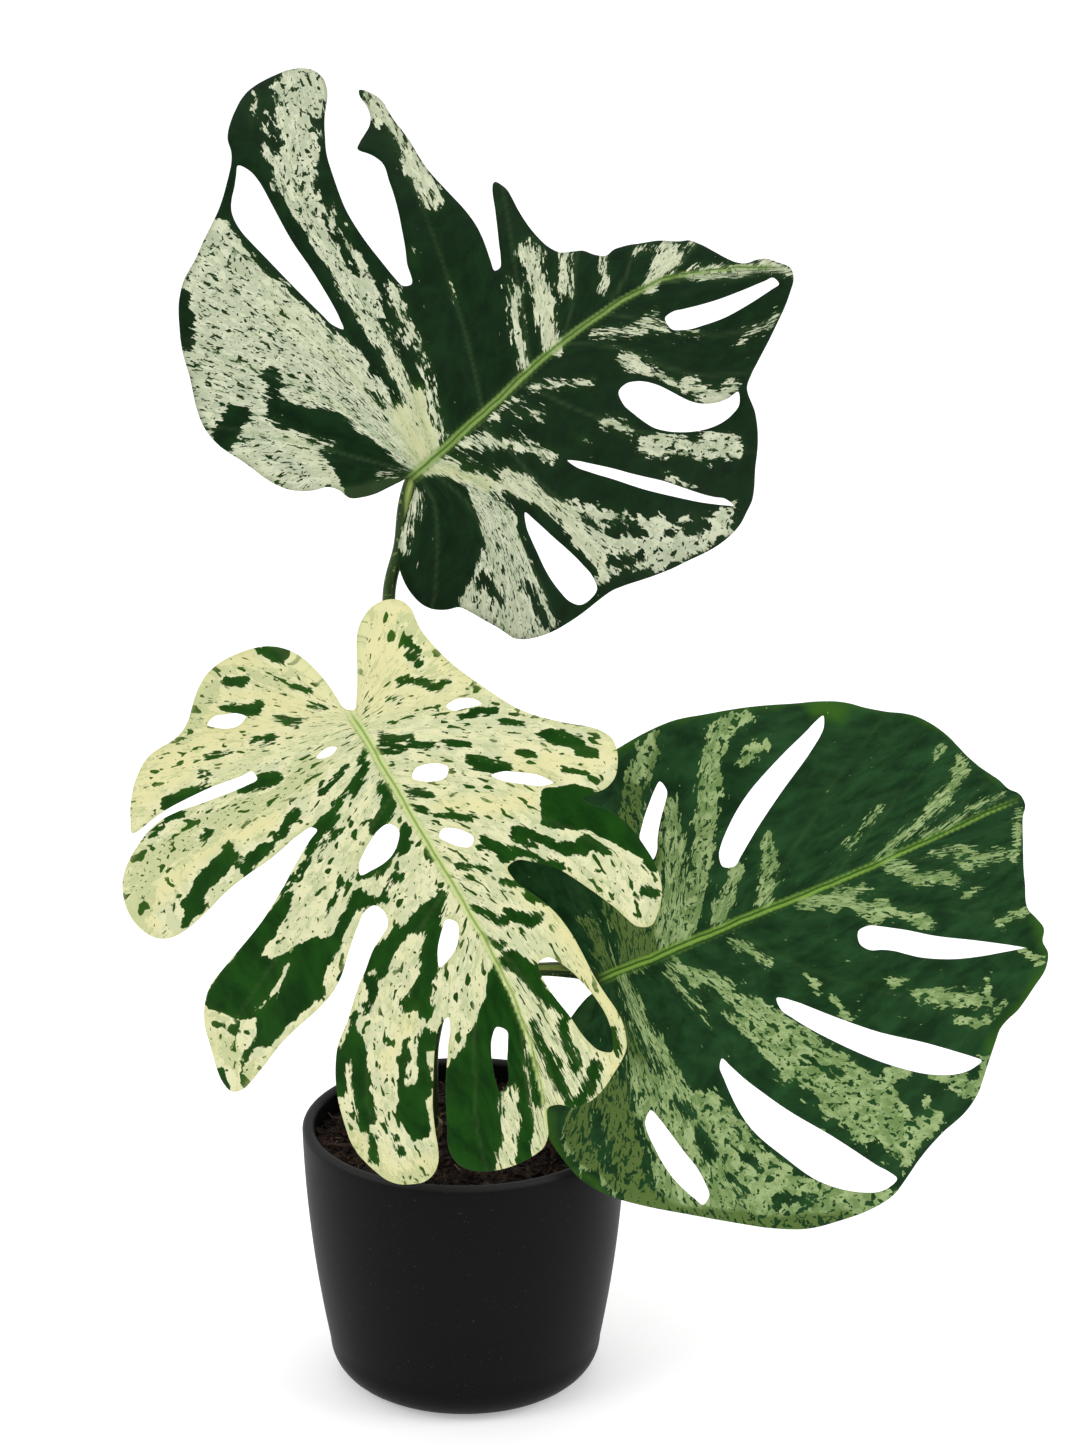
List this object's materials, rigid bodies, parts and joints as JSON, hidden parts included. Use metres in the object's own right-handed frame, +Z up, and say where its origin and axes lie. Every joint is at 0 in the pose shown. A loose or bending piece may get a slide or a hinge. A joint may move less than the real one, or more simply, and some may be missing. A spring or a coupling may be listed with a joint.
{
  "type": "potted monstera plant",
  "caption": "Potted variegated monstera: split, pierced heart-shaped leaves on arching stalks from a short stem, in soil in a plain round black planter with a rounded foot.",
  "frame": {"origin": "centre of the planter's foot, on the surface it stands on", "axes": "+Z up; +X to the right and +Y to the back, seen from the front, where the blades face"},
  "size_m": [0.4533, 0.3036, 0.6208],
  "materials": {
    "planter": "smooth satin black, slightly soft at the rim",
    "soil": "dark brown bark and fibre potting mix, rough and crumbly",
    "stem": "brown-green woody rind with leaf scars",
    "petiole": "smooth green skin with pale lengthwise streaks, soft sheen",
    "leaf_dark": "deep green blade with grey-white marbling and pale green ribs, waxy sheen",
    "leaf_cream": "cream blade with pale sage patches and dark green flecks, waxy sheen",
    "leaf_green": "green blade with sage marbling and pale green ribs, waxy sheen"
  },
  "bodies": {
    "root": {"pot": "planter", "soil": "soil", "stem": "stem", "petiole_upper": "petiole", "petiole_front": "petiole", "petiole_right": "petiole", "leaf_upper": "leaf_dark", "leaf_front": "leaf_cream", "leaf_right": "leaf_green"}
  },
  "joints": []
}
